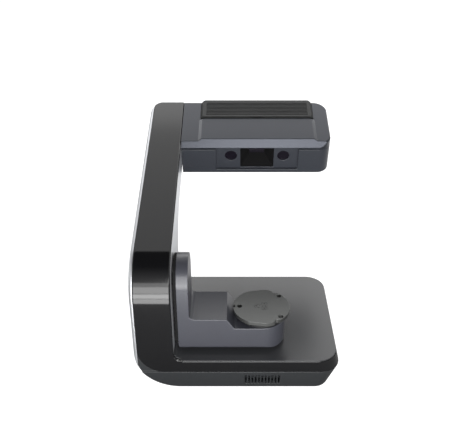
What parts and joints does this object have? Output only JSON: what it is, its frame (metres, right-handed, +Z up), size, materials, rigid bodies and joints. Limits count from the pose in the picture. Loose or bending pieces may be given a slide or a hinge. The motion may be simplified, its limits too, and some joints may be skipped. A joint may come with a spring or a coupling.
{
  "type": "desktop 3d scanner",
  "caption": "C-shaped desktop scanner: weighted base with deck, leaning column, camera head with lenses and a projector, and a motor-driven swing arm with a turntable.",
  "frame": {"origin": "centre of the bounding box at the surface that the feet stand on", "axes": "+X right, +Y from the front to the back, +Z up; the column is at -X and the head's end at +X"},
  "size_m": [0.263, 0.3452, 0.2739],
  "materials": {
    "gloss_black": "glossy black bezel",
    "deck_grey": "satin grey",
    "tray_grey": "fine matte",
    "side_grey": "satin light grey",
    "arm_grey": "satin blue-grey",
    "cover_dark": "matte",
    "head_grey": "satin blue-grey",
    "head_dark": "fine matte",
    "grille_black": "matte black",
    "lens_glass": "coated glass",
    "matt_black": "matte black",
    "plate_grey": "dark anodised",
    "feet_rubber": "matte",
    "plate_steel": "zinc plated",
    "machined": "machined",
    "hard_steel": "ground steel",
    "screw_steel": "black oxide",
    "motor_black": "black",
    "belt_rubber": "toothed belt",
    "board_green": "solder mask",
    "port_metal": "plated"
  },
  "bodies": {
    "frame": {"rubber_feet": "feet_rubber", "base_tray": "tray_grey", "floor_plate": "plate_steel", "base_deck": "deck_grey", "front_bezel": "gloss_black", "rear_port_panel": "gloss_black", "outer_side_shell": "side_grey", "inner_side_shell": "side_grey", "spine_plate": "plate_steel", "base_screws": "screw_steel", "main_board": "board_green", "board_standoffs": "screw_steel", "usb_port": "port_metal", "power_jack": "matt_black", "switch_housing": "matt_black", "swing_bearing_housing": "machined", "swing_bearings": "hard_steel", "swing_motor": "motor_black", "swing_belt": "belt_rubber", "head_lower_shell": "head_dark", "head_top_cover": "head_grey", "window_panel": "head_dark", "lens_windows": "lens_glass", "projector_funnel": "matt_black", "projector_window": "lens_glass", "camera_left": "matt_black", "camera_right": "matt_black", "projector_body": "machined", "projector_lens": "matt_black", "optics_bench": "machined", "head_board": "board_green", "heat_sink": "machined", "fan_frame": "matt_black", "vent_grille": "grille_black", "head_screws": "screw_steel"},
    "swing_arm": {"arm_shell": "arm_grey", "arm_floor_cover": "cover_dark", "arm_side_cover": "gloss_black", "arm_screws": "screw_steel", "swing_shaft": "hard_steel", "swing_pulley": "machined", "shaft_nut": "hard_steel", "table_motor": "motor_black", "table_belt": "belt_rubber", "table_bearing_housing": "machined", "table_bearings": "hard_steel"},
    "turntable": {"table_spindle": "hard_steel", "table_pulley": "machined", "table_hub": "matt_black", "table_plate": "plate_grey", "table_magnets": "hard_steel", "table_contacts": "plate_grey"},
    "swing_drive": {"swing_motor_pulley": "machined"},
    "turntable_drive": {"table_motor_pulley": "machined"},
    "rocker": {"power_rocker": "matt_black"},
    "rotor": {"fan_rotor": "matt_black"}
  },
  "joints": [
    {"name": "swing_tilt", "type": "hinge", "parent": "frame", "child": "swing_arm", "pos_m": [-0.082, -0.12407, 0.1422], "axis": [1, 0, 0], "range_deg": [-75, 30]},
    {"name": "turntable_spin", "type": "hinge", "parent": "swing_arm", "child": "turntable", "pos_m": [0.0285, -0.12407, 0.084], "axis": [0, 0, 1], "continuous": true},
    {"name": "swing_motor_spin", "type": "hinge", "parent": "frame", "child": "swing_drive", "pos_m": [-0.1195, -0.11207, 0.0852], "axis": [1, 0, 0], "range_deg": [-225, 90]},
    {"name": "turntable_motor_spin", "type": "hinge", "parent": "swing_arm", "child": "turntable_drive", "pos_m": [-0.0361, -0.12407, 0.064], "axis": [0, 0, 1], "continuous": true},
    {"name": "power_switch_rock", "type": "hinge", "parent": "frame", "child": "rocker", "pos_m": [0.0335, 0.01393, 0.0385], "axis": [0, 0, 1], "range_deg": [0, 12]},
    {"name": "fan_spin", "type": "hinge", "parent": "frame", "child": "rotor", "pos_m": [0.0805, 0.13169, 0.24768], "axis": [0, -0.2756, 0.9613], "continuous": true}
  ],
  "couplings": [
    {"joint": "swing_motor_spin", "follows": "swing_tilt", "ratio": 3},
    {"joint": "turntable_motor_spin", "follows": "turntable_spin", "ratio": 3}
  ]
}
